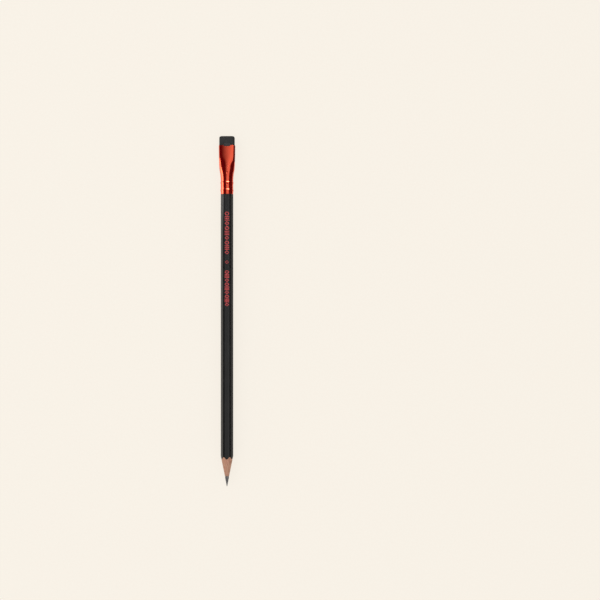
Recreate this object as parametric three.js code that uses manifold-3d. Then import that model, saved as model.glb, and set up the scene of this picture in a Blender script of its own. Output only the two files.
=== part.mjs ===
// A wood-cased graphite pencil with a flat pressed ferrule and a replaceable eraser held in a sheet clip.
// Millimetres, +Z up. The pencil lies along Y: writing tip towards -Y, eraser towards +Y.
// The origin is under the middle of its length, on the plane that it lies on.
// Distances called "from the tip" run along the pencil; depths run from the ferrule's mouth towards the tip.

import * as THREE from "three";
import { mergeVertices } from "three/addons/utils/BufferGeometryUtils.js";
import Module from "manifold-3d";

const wasm = await Module();
wasm.setup();

// ---------- driving dimensions ----------

const LENGTH = 203;
const FLAT_RADIUS = 3.335; // axis to a lacquered flat of the hexagon
const CORNER_ROUNDING = 1.575;
const LACQUER = 0.085;
const CORE_RADIUS = 1.125;
const GLUE = 0.04;
const SEAT_GAP = 0.01; // between bonded layers

const CONE_SLOPE = 0.203; // radius gained per millimetre by the sharpened wood
const WOOD_START = 6.05; // from the tip
const WOOD_START_RADIUS = 1.24;
const LEAD_CONE_START = 4.9; // from the tip: the bare core is a cylinder behind this
const POINT_RADIUS = 0.17;
const POINT_TURN = 1.37; // radians of arc from the tip to where the lead's cone begins

const ERASER_SHOWING = 5.3;
const ERASER_INSIDE = 12.8;
const ERASER_THICKNESS = 3.3;
const ERASER_SIDE_ROUNDING = 1.4; // its narrow sides are nearly half round
const ERASER_END_ROUNDING = 0.4;
const ERASER_HALF_WIDTHS = { foot: 4.1, mouth: 4.48, end: 4.47 };

const FERRULE_LENGTH = 28.3;
const TUBE_RADIUS = 3.62;
const WALL = 0.25;
const PRESSED_DEPTH = 20; // the tube is round below this depth
const BEAD_HEIGHT = 0.19;
const BEADS = [
  { depth: 21.7, halfLength: 0.95 },
  { depth: 26.1, halfLength: 1.15 },
];
const SCALLOP_WIDTH = 4.5;
const SCALLOP_DEPTH = 0.64;
const SCALLOP_FLATNESS = 5; // the higher, the flatter its bottom
const STAKES = [15.8, 22.4]; // depths of the small punched dents
const STAKE_ACROSS = 0.25;
const STAKE_RADIUS = 0.65;
const STAKE_DEPTH = 0.16;

const TENON_RADIUS = 3.35; // the barrel's end, turned to enter the ferrule
const TENON_LENGTH = 10.7;

const CLIP_SHEET = 0.22;
const CLIP_CLEARANCE = 0.02;
const CLIP_BEND = 0.6; // outer radius of the folds at its foot
const CLIP_HALF_WIDTH = 2.7;
const CLIP_SHOULDER_DEPTH = 2.2; // the legs begin to narrow here
const TAB_START_DEPTH = 1; // and are as narrow as their tabs here
const TAB_HALF_WIDTH = 2.03;
const TAB_SHOWING = 1.15;
const TAB_ROUNDING = 0.5;

const FOIL_THICKNESS = 0.02;
const FOIL_GAP = 0.002;
const FOIL_FILL = 0.42; // half a figure's length as a share of the pitch
const FOIL_ACROSS = 0.15; // the stamping's middle from the facet's middle
const FOIL_THREAD = 0.16; // the fine line that joins the figures
// Starts are from the tip, and half heights are across the facet.
const FOIL_UPPER = { start: 134.2, length: 25.2, figures: 9, halfHeight: 1.3, stroke: 0.42 };
const FOIL_MARK = { start: 128.7, length: 2.5, figures: 1, halfHeight: 1.05, stroke: 0.3 };
const FOIL_LOWER = { start: 104.3, length: 21.1, figures: 9, halfHeight: 1.3, stroke: 0.42 };

const ROUND_SEGMENTS = 48;
const FERRULE_SEGMENTS = 40;
const CORNER_SEGMENTS = 4;

// Pressed outline of the ferrule by depth. Each section is a rounded oblong of arcs that run into each other: two
// crowned faces, four corners and two bulging sides.
const HALF_WIDTHS = [
  [0, 4.78], [6, 4.72], [11.5, 4.53], [14.5, 4.3], [16.4, 3.9], [18, 3.73], [PRESSED_DEPTH, TUBE_RADIUS],
];
const HALF_HEIGHTS = [
  [0, 2.42], [6, 2.46], [8, 2.55], [11, 2.95], [13.5, 3.38], [16, 3.58], [PRESSED_DEPTH, TUBE_RADIUS],
];
const CORNER_RADII = [
  [0, 1.2], [6, 1.25], [8, 1.45], [11, 2.1], [13.5, 2.9], [16, 3.25], [18, 3.5], [PRESSED_DEPTH, TUBE_RADIUS],
];
const FACE_TURNS = [[0, 10], [6, 10], [8, 12], [11, 34], [13.5, 34], [16, 45]]; // degrees from middle to end
const SIDE_TURN = 15; // the same on a side

// ---------- derived places ----------

const MOUTH = LENGTH - ERASER_SHOWING;
const FERRULE_END = MOUTH - FERRULE_LENGTH;
const WOOD_END = FERRULE_END + TENON_LENGTH;
const BEAD_RADIUS = TUBE_RADIUS + BEAD_HEIGHT;
const AXIS_HEIGHT = BEAD_RADIUS * Math.cos(Math.PI / FERRULE_SEGMENTS); // a bead's lowest edge lies at Z 0
const CONE_APEX = WOOD_START - WOOD_START_RADIUS / CONE_SLOPE;
const GLUE_RADIUS = CORE_RADIUS + SEAT_GAP + GLUE;
const BORE_RADIUS = GLUE_RADIUS + SEAT_GAP;
const WOOD_FLAT_RADIUS = FLAT_RADIUS - LACQUER;
const CLIP_INNER = ERASER_THICKNESS / 2 + CLIP_CLEARANCE;
const CLIP_OUTER = CLIP_INNER + CLIP_SHEET;
const FAR = 300; // longer than the pencil
const CLEAR = 5; // from the axis to beyond either wide face

// ---------- materials ----------

const material = (color, roughness, metalness) => new THREE.MeshStandardMaterial({ color, roughness, metalness });

const graphite = material(0x6a6b6c, 0.42, 0.35);
const glue = material(0xd8c49a, 0.6, 0);
const cedar = material(0xc09070, 0.75, 0);
const lacquer = material(0x26282a, 0.32, 0);
const foil = material(0xb0413c, 0.35, 0.6);
const anodised = material(0xd24a2c, 0.25, 1);
const darkCoating = material(0x46484a, 0.5, 0.3);
const blackRubber = material(0x333435, 0.8, 0);

// ---------- solids: joining and cutting ----------

function solid(geometry) {
  const bare = geometry.clone();
  bare.deleteAttribute("normal");
  bare.deleteAttribute("uv");
  const merged = mergeVertices(bare);
  return new wasm.Manifold(new wasm.Mesh({
    numProp: 3,
    vertProperties: new Float32Array(merged.attributes.position.array),
    triVerts: new Uint32Array(merged.index.array),
  }));
}

function geometryOf(manifold) {
  const mesh = manifold.getMesh();
  const geometry = new THREE.BufferGeometry();
  geometry.setAttribute("position", new THREE.BufferAttribute(mesh.vertProperties, mesh.numProp));
  geometry.setIndex(new THREE.BufferAttribute(mesh.triVerts, 1));
  return geometry;
}

// A lathe turns about Y already, so a turned piece only moves to the pencil's axis.
// Its points are [radius, from the tip].
function turned(points, segments = ROUND_SEGMENTS) {
  const profile = points.map(([radius, place]) => new THREE.Vector2(radius, place));
  const geometry = new THREE.LatheGeometry(profile, segments);
  return geometry.translate(0, -LENGTH / 2, AXIS_HEIGHT);
}

// A prism along the pencil. The section's own x points up and its y points to +X.
function prism(section, start, end, settings = { bevelEnabled: false }) {
  const geometry = new THREE.ExtrudeGeometry(section, { depth: end - start, ...settings });
  const up = new THREE.Vector3(0, 0, 1);
  const side = new THREE.Vector3(1, 0, 0);
  const along = new THREE.Vector3(0, 1, 0);
  geometry.translate(0, 0, start);
  geometry.applyMatrix4(new THREE.Matrix4().makeBasis(up, side, along));
  return geometry.translate(0, -LENGTH / 2, AXIS_HEIGHT);
}

// A plate drawn in plan (x across, y from the tip) and standing from one height to another above the axis.
function plate(outline, bottom, top) {
  const geometry = new THREE.ExtrudeGeometry(outline, { depth: top - bottom, bevelEnabled: false });
  return geometry.translate(0, -LENGTH / 2, AXIS_HEIGHT + bottom);
}

// ---------- barrel ----------

// Regular hexagon with a flat facing up and down, and round corners.
function hexagon(flatRadius) {
  const rounding = CORNER_ROUNDING - (FLAT_RADIUS - flatRadius);
  const arcCentre = (flatRadius - rounding) / Math.cos(Math.PI / 6);
  const points = [];
  for (let corner = 0; corner < 6; corner += 1) {
    const middle = Math.PI / 6 + (corner * Math.PI) / 3;
    for (let step = 0; step <= CORNER_SEGMENTS; step += 1) {
      const angle = middle + (step / CORNER_SEGMENTS - 0.5) * (Math.PI / 3);
      points.push(new THREE.Vector2(
        arcCentre * Math.cos(middle) + rounding * Math.cos(angle),
        arcCentre * Math.sin(middle) + rounding * Math.sin(angle),
      ));
    }
  }
  return new THREE.Shape(points);
}

// Everything that the sharpener and the tenon cutter leave standing of the casing.
function cutEnvelope() {
  const shaft = 4.2;
  return solid(turned([
    [0, CONE_APEX],
    [shaft, CONE_APEX + shaft / CONE_SLOPE],
    [shaft, FERRULE_END],
    [TENON_RADIUS, FERRULE_END],
    [TENON_RADIUS, WOOD_END],
    [0, WOOD_END],
  ]));
}

function halfSpace(height, thickness) {
  const block = new THREE.BoxGeometry(FAR, FAR, thickness);
  return solid(block.translate(0, 0, AXIS_HEIGHT + height));
}

function cedarSlat(side) {
  const stock = solid(prism(hexagon(WOOD_FLAT_RADIUS), WOOD_START, WOOD_END));
  const groove = solid(turned([[0, 0], [BORE_RADIUS, 0], [BORE_RADIUS, LENGTH], [0, LENGTH]]));
  const glueFace = GLUE / 2 + SEAT_GAP;
  const half = 10;
  const keep = halfSpace(side * (glueFace + half / 2), half);
  return geometryOf(stock.intersect(cutEnvelope()).subtract(groove).intersect(keep));
}

function glueFilm() {
  const sleeve = solid(turned([
    [CORE_RADIUS + SEAT_GAP, WOOD_START],
    [GLUE_RADIUS, WOOD_START],
    [GLUE_RADIUS, WOOD_END],
    [CORE_RADIUS + SEAT_GAP, WOOD_END],
    [CORE_RADIUS + SEAT_GAP, WOOD_START],
  ]));
  const bore = solid(turned([[0, 0], [CORE_RADIUS + SEAT_GAP, 0], [CORE_RADIUS + SEAT_GAP, LENGTH], [0, LENGTH]]));
  const stock = solid(prism(hexagon(WOOD_FLAT_RADIUS), WOOD_START, WOOD_END));
  const wings = halfSpace(0, GLUE).intersect(stock).intersect(cutEnvelope());
  return geometryOf(wings.add(sleeve).subtract(bore));
}

function graphiteCore() {
  const tipArc = 4;
  const points = [[0, 0]];
  for (let step = 1; step <= tipArc; step += 1) {
    const angle = (step / tipArc) * POINT_TURN;
    points.push([POINT_RADIUS * Math.sin(angle), POINT_RADIUS * (1 - Math.cos(angle))]);
  }
  points.push([CORE_RADIUS, LEAD_CONE_START], [CORE_RADIUS, WOOD_END], [0, WOOD_END]);
  return turned(points, ROUND_SEGMENTS / 2);
}

function lacquerCoat() {
  const outside = solid(prism(hexagon(FLAT_RADIUS), WOOD_START, WOOD_END));
  const inside = solid(prism(hexagon(WOOD_FLAT_RADIUS + SEAT_GAP), 0, LENGTH));
  return geometryOf(outside.subtract(inside).intersect(cutEnvelope()));
}

// ---------- stamped foil ----------

// Plan outlines of one figure, centred on the origin. Figures alternate along a band. Each is cut out of a thin
// skin that lies on the lacquer, so that it follows the facet round its corners.
function ringOf(corners, radiusAcross, radiusAlong, stroke) {
  const outline = (shrink) => Array.from({ length: corners }, (_, index) => {
    const angle = (index / corners) * 2 * Math.PI;
    return new THREE.Vector2((radiusAcross - shrink) * Math.cos(angle), (radiusAlong - shrink) * Math.sin(angle));
  });
  const shape = new THREE.Shape(outline(0));
  shape.holes.push(new THREE.Path(outline(stroke)));
  return shape;
}

function bar(halfAcross, from, to) {
  return new THREE.Shape([
    new THREE.Vector2(-halfAcross, from),
    new THREE.Vector2(halfAcross, from),
    new THREE.Vector2(halfAcross, to),
    new THREE.Vector2(-halfAcross, to),
  ]);
}

function figure(kind, halfAlong, halfHeight, stroke) {
  if (kind === 0) return [ringOf(4, halfHeight, halfAlong, stroke)];
  if (kind === 1) return [-1, 0, 1].map((place) => {
    const middle = place * (halfAlong - stroke / 2);
    return bar(halfHeight, middle - stroke / 2, middle + stroke / 2);
  });
  return [ringOf(6, halfHeight, halfAlong, stroke)];
}

function foilBand({ start, length, figures, halfHeight, stroke }) {
  const bottom = FLAT_RADIUS + FOIL_GAP;
  const top = bottom + FOIL_THICKNESS;
  const pitch = length / figures;
  const halfAlong = pitch * FOIL_FILL;
  const end = start + length;
  const inset = pitch / 2;
  const above = [FLAT_RADIUS - 1, FLAT_RADIUS + 1];
  let pattern = solid(plate(bar(FOIL_THREAD / 2, start + inset, end - inset), ...above));
  for (let index = 0; index < figures; index += 1) {
    const place = start + (index + 0.5) * pitch;
    figure(index % 3, halfAlong, halfHeight, stroke).forEach((shape) => {
      pattern = pattern.add(solid(plate(shape, ...above).translate(0, place, 0)));
    });
  }
  const filled = solid(prism(hexagon(top), start - 1, end + 1));
  const skin = filled.subtract(solid(prism(hexagon(bottom), start - 2, end + 2)));
  return geometryOf(skin.intersect(pattern.translate(FOIL_ACROSS, 0, 0)));
}

// ---------- ferrule ----------

// Smooth curve through [depth, value] stations, with each slope taken from the two neighbours.
function along(stations, depth) {
  const last = stations.length - 1;
  if (depth >= stations[last][0]) return stations[last][1];
  if (depth <= stations[0][0]) return stations[0][1];
  const slope = (index) => {
    const before = stations[Math.max(index - 1, 0)];
    const after = stations[Math.min(index + 1, last)];
    return index === 0 || index === last ? 0 : (after[1] - before[1]) / (after[0] - before[0]);
  };
  const right = stations.findIndex((station) => station[0] > depth);
  const [d0, v0] = stations[right - 1];
  const [d1, v1] = stations[right];
  const span = d1 - d0;
  const t = (depth - d0) / span;
  const rise = t * t * (3 - 2 * t);
  return v0 + (v1 - v0) * rise + span * t * (1 - t) * ((1 - t) * slope(right - 1) - t * slope(right));
}

function beadRise(depth) {
  const bump = ({ depth: middle, halfLength }) => {
    const away = Math.abs(depth - middle) / halfLength;
    return away < 1 ? BEAD_HEIGHT * 0.5 * (1 + Math.cos(Math.PI * away)) : 0;
  };
  return BEADS.reduce((sum, bead) => sum + bump(bead), 0);
}

function depthStations() {
  const depths = [];
  for (let depth = 0; depth < PRESSED_DEPTH; depth += 1.25) depths.push(depth);
  BEADS.forEach(({ depth, halfLength }) => {
    for (let step = -3; step <= 3; step += 1) depths.push(depth + (step / 3) * halfLength);
  });
  depths.push(FERRULE_LENGTH);
  return depths;
}

// A quarter of the section at one depth: its side arc, corner arc and face arc, each starting where the one before
// ends.
function quarterArcs(depth) {
  const corner = along(CORNER_RADII, depth);
  const halfWidth = along(HALF_WIDTHS, depth);
  const halfHeight = along(HALF_HEIGHTS, depth);
  const sideTurn = THREE.MathUtils.degToRad(SIDE_TURN);
  const faceTurn = THREE.MathUtils.degToRad(along(FACE_TURNS, depth));
  const sidePull = Math.tan(sideTurn / 2);
  const facePull = Math.tan(faceTurn / 2);
  const cornerX = (halfWidth - corner - sidePull * (halfHeight - corner)) / (1 - sidePull * facePull);
  const cornerY = halfHeight - corner - facePull * cornerX;
  const side = corner + cornerY / Math.sin(sideTurn);
  const face = corner + cornerX / Math.sin(faceTurn);
  return [
    { radius: side, turn: sideTurn, x: halfWidth - side, y: 0 },
    { radius: corner, turn: Math.PI / 2 - sideTurn - faceTurn, x: cornerX, y: cornerY },
    { radius: face, turn: faceTurn, x: 0, y: halfHeight - face },
  ];
}

// Where the press leaves a point of the round tube. Lengths round the skin keep their shares of a quarter turn, and
// offset is the point's distance from the outer skin.
function pressed(angle, depth, offset) {
  const arcs = quarterArcs(depth);
  const quarter = arcs.reduce((sum, { radius, turn }) => sum + radius * turn, 0);
  const fold = Math.asin(Math.abs(Math.sin(angle))); // from the side, within a quarter turn
  let length = (fold / (Math.PI / 2)) * quarter;
  let direction = 0;
  while (arcs.length > 1 && length > arcs[0].radius * arcs[0].turn) {
    const passed = arcs.shift();
    length -= passed.radius * passed.turn;
    direction += passed.turn;
  }
  const [{ radius, x, y }] = arcs;
  direction += length / radius;
  return new THREE.Vector2(
    Math.sign(Math.cos(angle)) * (x + (radius + offset) * Math.cos(direction)),
    Math.sign(Math.sin(angle)) * (y + (radius + offset) * Math.sin(direction)),
  );
}

// A drawn tube with its beads, turned round first and then pressed.
function pressedTube() {
  const outer = depthStations().reverse().map((depth) => [TUBE_RADIUS + beadRise(depth), MOUTH - depth]);
  const inner = outer.map(([radius, place]) => [radius - WALL, place]).reverse();
  const profile = [...outer, ...inner, outer[0]].map(([radius, place]) => new THREE.Vector2(radius, place));
  const tube = new THREE.LatheGeometry(profile, FERRULE_SEGMENTS);
  tube.rotateY(Math.PI / FERRULE_SEGMENTS);
  const position = tube.attributes.position;
  for (let index = 0; index < position.count; index += 1) {
    const x = position.getX(index);
    const place = position.getY(index);
    const z = position.getZ(index);
    const offset = Math.hypot(x, z) - TUBE_RADIUS;
    const moved = pressed(Math.atan2(z, x), MOUTH - place, offset);
    position.setXYZ(index, moved.x, place, moved.y);
  }
  return tube.translate(0, -LENGTH / 2, AXIS_HEIGHT);
}

function scallopCutter() {
  const steps = 16;
  const beyond = MOUTH + 2;
  const outline = [
    new THREE.Vector2(SCALLOP_WIDTH / 2, beyond),
    new THREE.Vector2(-SCALLOP_WIDTH / 2, beyond),
  ];
  for (let step = 0; step <= steps; step += 1) {
    const share = (2 * step) / steps - 1;
    const dip = SCALLOP_DEPTH * (1 - Math.abs(share) ** SCALLOP_FLATNESS);
    outline.push(new THREE.Vector2((share * SCALLOP_WIDTH) / 2, MOUTH - dip));
  }
  return solid(plate(new THREE.Shape(outline), -CLEAR, CLEAR));
}

function stakeCutter(depth, side) {
  const surface = along(HALF_HEIGHTS, depth) + beadRise(depth);
  const ball = new THREE.SphereGeometry(STAKE_RADIUS, 16, 12);
  const height = AXIS_HEIGHT + side * (surface + STAKE_RADIUS - STAKE_DEPTH);
  return solid(ball.translate(STAKE_ACROSS, MOUTH - depth - LENGTH / 2, height));
}

function ferruleBody() {
  let body = solid(pressedTube()).subtract(scallopCutter());
  STAKES.forEach((depth) => {
    body = body.subtract(stakeCutter(depth, 1)).subtract(stakeCutter(depth, -1));
  });
  return geometryOf(body);
}

// ---------- eraser and its clip ----------

// A slab whose narrow sides are nearly half round, tapered a little from the ferrule's mouth to both ends.
function eraserBlock() {
  const { foot, mouth, end } = ERASER_HALF_WIDTHS;
  const rounding = ERASER_SIDE_ROUNDING;
  const rise = ERASER_THICKNESS / 2 - rounding;
  const across = mouth - rounding;
  const section = new THREE.Shape();
  section.absarc(rise, across, rounding, 0, Math.PI / 2, false);
  section.absarc(-rise, across, rounding, Math.PI / 2, Math.PI, false);
  section.absarc(-rise, -across, rounding, Math.PI, 1.5 * Math.PI, false);
  section.absarc(rise, -across, rounding, 1.5 * Math.PI, 2 * Math.PI, false);
  section.closePath();
  const start = MOUTH - ERASER_INSIDE;
  const block = prism(section, start + ERASER_END_ROUNDING, LENGTH - ERASER_END_ROUNDING, {
    steps: 10,
    curveSegments: 6,
    bevelThickness: ERASER_END_ROUNDING,
    bevelSize: ERASER_END_ROUNDING,
    bevelOffset: -ERASER_END_ROUNDING,
    bevelSegments: 3,
  });
  const position = block.attributes.position;
  for (let index = 0; index < position.count; index += 1) {
    const place = position.getY(index) + LENGTH / 2;
    const inside = (MOUTH - place) / ERASER_INSIDE;
    const outside = (place - MOUTH) / ERASER_SHOWING;
    const halfWidth = inside > 0 ? mouth + (foot - mouth) * inside : mouth + (end - mouth) * outside;
    position.setX(index, (position.getX(index) * halfWidth) / mouth);
  }
  return block;
}

// Side view of the folded strip (x from the tip, y above the axis), as wide as the legs.
function foldedStrip() {
  const top = MOUTH + TAB_SHOWING;
  const innerFoot = MOUTH - ERASER_INSIDE - CLIP_CLEARANCE;
  const outerFoot = innerFoot - CLIP_SHEET;
  const bend = CLIP_BEND;
  const profile = new THREE.Shape();
  profile.moveTo(top, CLIP_OUTER);
  profile.lineTo(outerFoot + bend, CLIP_OUTER);
  profile.absarc(outerFoot + bend, CLIP_OUTER - bend, bend, Math.PI / 2, Math.PI, false);
  profile.absarc(outerFoot + bend, -CLIP_OUTER + bend, bend, Math.PI, 1.5 * Math.PI, false);
  profile.lineTo(top, -CLIP_OUTER);
  profile.lineTo(top, -CLIP_INNER);
  profile.lineTo(outerFoot + bend, -CLIP_INNER);
  profile.absarc(outerFoot + bend, -CLIP_OUTER + bend, bend - CLIP_SHEET, 1.5 * Math.PI, Math.PI, true);
  profile.absarc(outerFoot + bend, CLIP_OUTER - bend, bend - CLIP_SHEET, Math.PI, Math.PI / 2, true);
  profile.lineTo(top, CLIP_INNER);
  profile.closePath();
  const strip = new THREE.ExtrudeGeometry(profile, {
    depth: 2 * CLIP_HALF_WIDTH,
    bevelEnabled: false,
    curveSegments: 4,
  });
  const alongY = new THREE.Vector3(0, 1, 0);
  const up = new THREE.Vector3(0, 0, 1);
  const across = new THREE.Vector3(1, 0, 0);
  strip.translate(0, 0, -CLIP_HALF_WIDTH);
  strip.applyMatrix4(new THREE.Matrix4().makeBasis(alongY, up, across));
  return strip.translate(0, -LENGTH / 2, AXIS_HEIGHT);
}

// Plan outline of both legs: full width inside the ferrule, then a round-cornered tab.
function legOutline() {
  const foot = MOUTH - ERASER_INSIDE - 1;
  const shoulder = MOUTH - CLIP_SHOULDER_DEPTH;
  const top = MOUTH + TAB_SHOWING;
  const outline = new THREE.Shape();
  outline.moveTo(-CLIP_HALF_WIDTH, foot);
  outline.lineTo(CLIP_HALF_WIDTH, foot);
  outline.lineTo(CLIP_HALF_WIDTH, shoulder);
  outline.quadraticCurveTo(TAB_HALF_WIDTH, shoulder, TAB_HALF_WIDTH, MOUTH - TAB_START_DEPTH);
  outline.lineTo(TAB_HALF_WIDTH, top - TAB_ROUNDING);
  outline.absarc(TAB_HALF_WIDTH - TAB_ROUNDING, top - TAB_ROUNDING, TAB_ROUNDING, 0, Math.PI / 2, false);
  outline.absarc(-TAB_HALF_WIDTH + TAB_ROUNDING, top - TAB_ROUNDING, TAB_ROUNDING, Math.PI / 2, Math.PI, false);
  outline.lineTo(-TAB_HALF_WIDTH, MOUTH - TAB_START_DEPTH);
  outline.quadraticCurveTo(-TAB_HALF_WIDTH, shoulder, -CLIP_HALF_WIDTH, shoulder);
  outline.closePath();
  return outline;
}

function eraserClip() {
  return geometryOf(solid(foldedStrip()).intersect(solid(plate(legOutline(), -CLEAR, CLEAR))));
}

// ---------- assembly ----------

const pencil = new THREE.Group();

function add(name, geometry, finish) {
  const mesh = new THREE.Mesh(geometry, finish);
  mesh.name = name;
  pencil.add(mesh);
}

add("graphite_core", graphiteCore(), graphite);
add("glue_film", glueFilm(), glue);
add("cedar_slat_upper", cedarSlat(1), cedar);
add("cedar_slat_lower", cedarSlat(-1), cedar);
add("lacquer_coat", lacquerCoat(), lacquer);
add("foil_band_upper", foilBand(FOIL_UPPER), foil);
add("foil_mark", foilBand(FOIL_MARK), foil);
add("foil_band_lower", foilBand(FOIL_LOWER), foil);
add("ferrule", ferruleBody(), anodised);
add("eraser_clip", eraserClip(), darkCoating);
add("eraser", eraserBlock(), blackRubber);

export default pencil;
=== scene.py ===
"""Looks of the graphite pencil: fine meshes, materials, studio and camera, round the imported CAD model.

Shapes are worked out in millimetres on the pencil itself: "across" is to +X, "rise" is above its axis, and
"place" is the distance from the writing tip. finish_mesh() turns them into metres in the row's frame.
"""

import math

import bmesh
import bpy
import numpy as np
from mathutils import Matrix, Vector, noise


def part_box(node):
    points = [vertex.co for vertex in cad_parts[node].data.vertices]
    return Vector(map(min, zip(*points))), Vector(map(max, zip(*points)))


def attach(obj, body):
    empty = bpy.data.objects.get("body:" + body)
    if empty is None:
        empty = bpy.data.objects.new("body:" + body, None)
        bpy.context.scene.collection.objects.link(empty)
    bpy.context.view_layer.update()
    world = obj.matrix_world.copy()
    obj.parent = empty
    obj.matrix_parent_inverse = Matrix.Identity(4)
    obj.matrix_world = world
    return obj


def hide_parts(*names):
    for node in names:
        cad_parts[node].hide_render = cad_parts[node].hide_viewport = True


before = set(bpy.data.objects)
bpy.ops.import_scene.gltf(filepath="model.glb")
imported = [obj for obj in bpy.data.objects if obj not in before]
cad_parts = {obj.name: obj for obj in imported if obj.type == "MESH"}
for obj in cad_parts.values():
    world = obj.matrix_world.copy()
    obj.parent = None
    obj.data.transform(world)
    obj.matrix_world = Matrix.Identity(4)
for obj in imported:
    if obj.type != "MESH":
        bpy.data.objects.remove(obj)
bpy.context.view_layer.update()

MM = 0.001
MICRON = 0.000001
WELD = 0.00000001  # points closer than this, in metres, become one

# ---------- sizes read from the CAD model, in millimetres ----------


def cad_box(node):
    """Lowest and highest corner of a CAD node in millimetres."""
    low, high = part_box(node)
    return low / MM, high / MM


core_low, core_high = cad_box("graphite_core")
_, lacquer_high = cad_box("lacquer_coat")
slat_low, slat_high = cad_box("cedar_slat_upper")
ferrule_low, ferrule_high = cad_box("ferrule")
clip_low, clip_high = cad_box("eraser_clip")
eraser_low, eraser_high = cad_box("eraser")

TIP = core_low.y
AXIS = (core_low.z + core_high.z) / 2
CORE_RADIUS = (core_high.x - core_low.x) / 2
FLAT_RADIUS = lacquer_high.z - AXIS
WOOD_FLAT_RADIUS = slat_high.z - AXIS
WOOD_START = slat_low.y - TIP
WOOD_END = slat_high.y - TIP
FERRULE_END = ferrule_low.y - TIP
MOUTH = ferrule_high.y - TIP
ERASER_FOOT = eraser_low.y - TIP
ERASER_END = eraser_high.y - TIP
ERASER_HALF_THICKNESS = (eraser_high.z - eraser_low.z) / 2
CLIP_FOOT = clip_low.y - TIP
CLIP_TOP = clip_high.y - TIP
CLIP_HALF_WIDTH = clip_high.x
CLIP_HALF_HEIGHT = (clip_high.z - clip_low.z) / 2

# ---------- sizes that the boxes don't give, as in the CAD model ----------

CORNER_ROUNDING = 1.575
SEAT_GAP = 0.01
GLUE = 0.04
CONE_SLOPE = 0.203
WOOD_START_RADIUS = 1.24
LEAD_CONE_START = 4.9
POINT_RADIUS = 0.17
TENON_RADIUS = 3.35
TUBE_RADIUS = 3.62
WALL = 0.25
BEAD_HEIGHT = 0.19
BEADS = ((21.7, 0.95), (26.1, 1.15))
SCALLOP_WIDTH = 4.5
SCALLOP_DEPTH = 0.64
SCALLOP_FLATNESS = 5
STAKES = (15.8, 22.4)
STAKE_ACROSS = 0.25
STAKE_RADIUS = 0.5
STAKE_DEPTH = 0.25
ERASER_SIDE_ROUNDING = 1.4
ERASER_MOUTH_HALF_WIDTH = 4.48
ERASER_END_HALF_WIDTH = 4.47
ERASER_FOOT_HALF_WIDTH = 4.1
CLIP_SHEET = 0.22
CLIP_BEND = 0.6
CLIP_SHOULDER_DEPTH = 2.2
TAB_DEPTH = 1
TAB_HALF_WIDTH = 2.03
TAB_ROUNDING = 0.5

CONE_APEX = WOOD_START - WOOD_START_RADIUS / CONE_SLOPE
BORE_RADIUS = CORE_RADIUS + 2 * SEAT_GAP + GLUE

# The ferrule's sections by depth from its mouth: rounded oblongs of arcs, with crowned faces and bulging
# sides, that turn into the round tube.
ROUND = ((20, TUBE_RADIUS), (30, TUBE_RADIUS))  # the press leaves this end as it was
HALF_WIDTHS = ((0, 4.78), (6, 4.72), (11.5, 4.53), (14.5, 4.3), (16.4, 3.9), (18, 3.73), *ROUND)
HALF_HEIGHTS = ((0, 2.42), (6, 2.46), (8, 2.55), (11, 2.95), (13.5, 3.38), (16, 3.58), *ROUND)
CORNER_RADII = ((0, 1.2), (6, 1.25), (8, 1.45), (11, 2.1), (13.5, 2.9), (16, 3.25), (18, 3.5), *ROUND)
FACE_TURNS = ((0, 10), (6, 10), (8, 12), (11, 34), (13.5, 34), (16, 45), (30, 45))  # degrees, middle to end
SIDE_TURN = math.radians(15)

# ---------- mesh helpers ----------


def finish_mesh(name, points, faces, body, stands_for, material):
    """A smooth mesh object from points (across, place, rise) in millimetres, riding on a body."""
    points = np.asarray(points, float).reshape(-1, 3)
    placed = (points + np.array([0.0, TIP, AXIS])) * MM
    mesh = bpy.data.meshes.new(name)
    mesh.from_pydata(placed.tolist(), [], faces)
    mesh.validate()
    work = bmesh.new()
    work.from_mesh(mesh)
    bmesh.ops.remove_doubles(work, verts=work.verts, dist=WELD)
    bmesh.ops.recalc_face_normals(work, faces=work.faces)
    for face in work.faces:
        face.smooth = True
    work.to_mesh(mesh)
    work.free()
    mesh.materials.append(material)
    piece = bpy.data.objects.new(name, mesh)
    bpy.context.scene.collection.objects.link(piece)
    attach(piece, body)
    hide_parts(*stands_for)
    return piece


def band_faces(rows, columns, wrap_rows=False, wrap_columns=True):
    """Quads of a grid whose points are stored row by row."""
    faces = []
    for row in range(rows if wrap_rows else rows - 1):
        below = row * columns
        above = (row + 1) % rows * columns
        for column in range(columns if wrap_columns else columns - 1):
            after = (column + 1) % columns
            faces.append((below + column, below + after, above + after, above + column))
    return faces


def ripple(across, place, rise, scale, stretch=1.0):
    """Smooth noise from -1 to 1. scale is in millimetres, and stretch lengthens it along the pencil."""
    return noise.noise(Vector((across / scale, place / (scale * stretch), rise / scale)))


def hexagon_radius(angles, flat):
    """Distance from the axis to a round-cornered hexagon with flats facing up and down."""
    rounding = CORNER_ROUNDING - (FLAT_RADIUS - flat)
    fold = np.abs((angles - math.pi / 2 + math.pi / 6) % (math.pi / 3) - math.pi / 6)
    normal = np.cos(fold)
    sideways = np.sin(fold)
    centre = flat - rounding
    half_edge = centre * math.tan(math.pi / 6)
    reach = centre * normal + half_edge * sideways
    on_arc = reach + np.sqrt(np.maximum(reach**2 - centre**2 - half_edge**2 + rounding**2, 0))
    return np.where(flat * np.tan(fold) <= half_edge, flat / normal, on_arc)


def cone_place(radius):
    """How far from the tip the sharpener's cone has this radius."""
    return CONE_APEX + radius / CONE_SLOPE


# ---------- node helpers ----------


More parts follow.
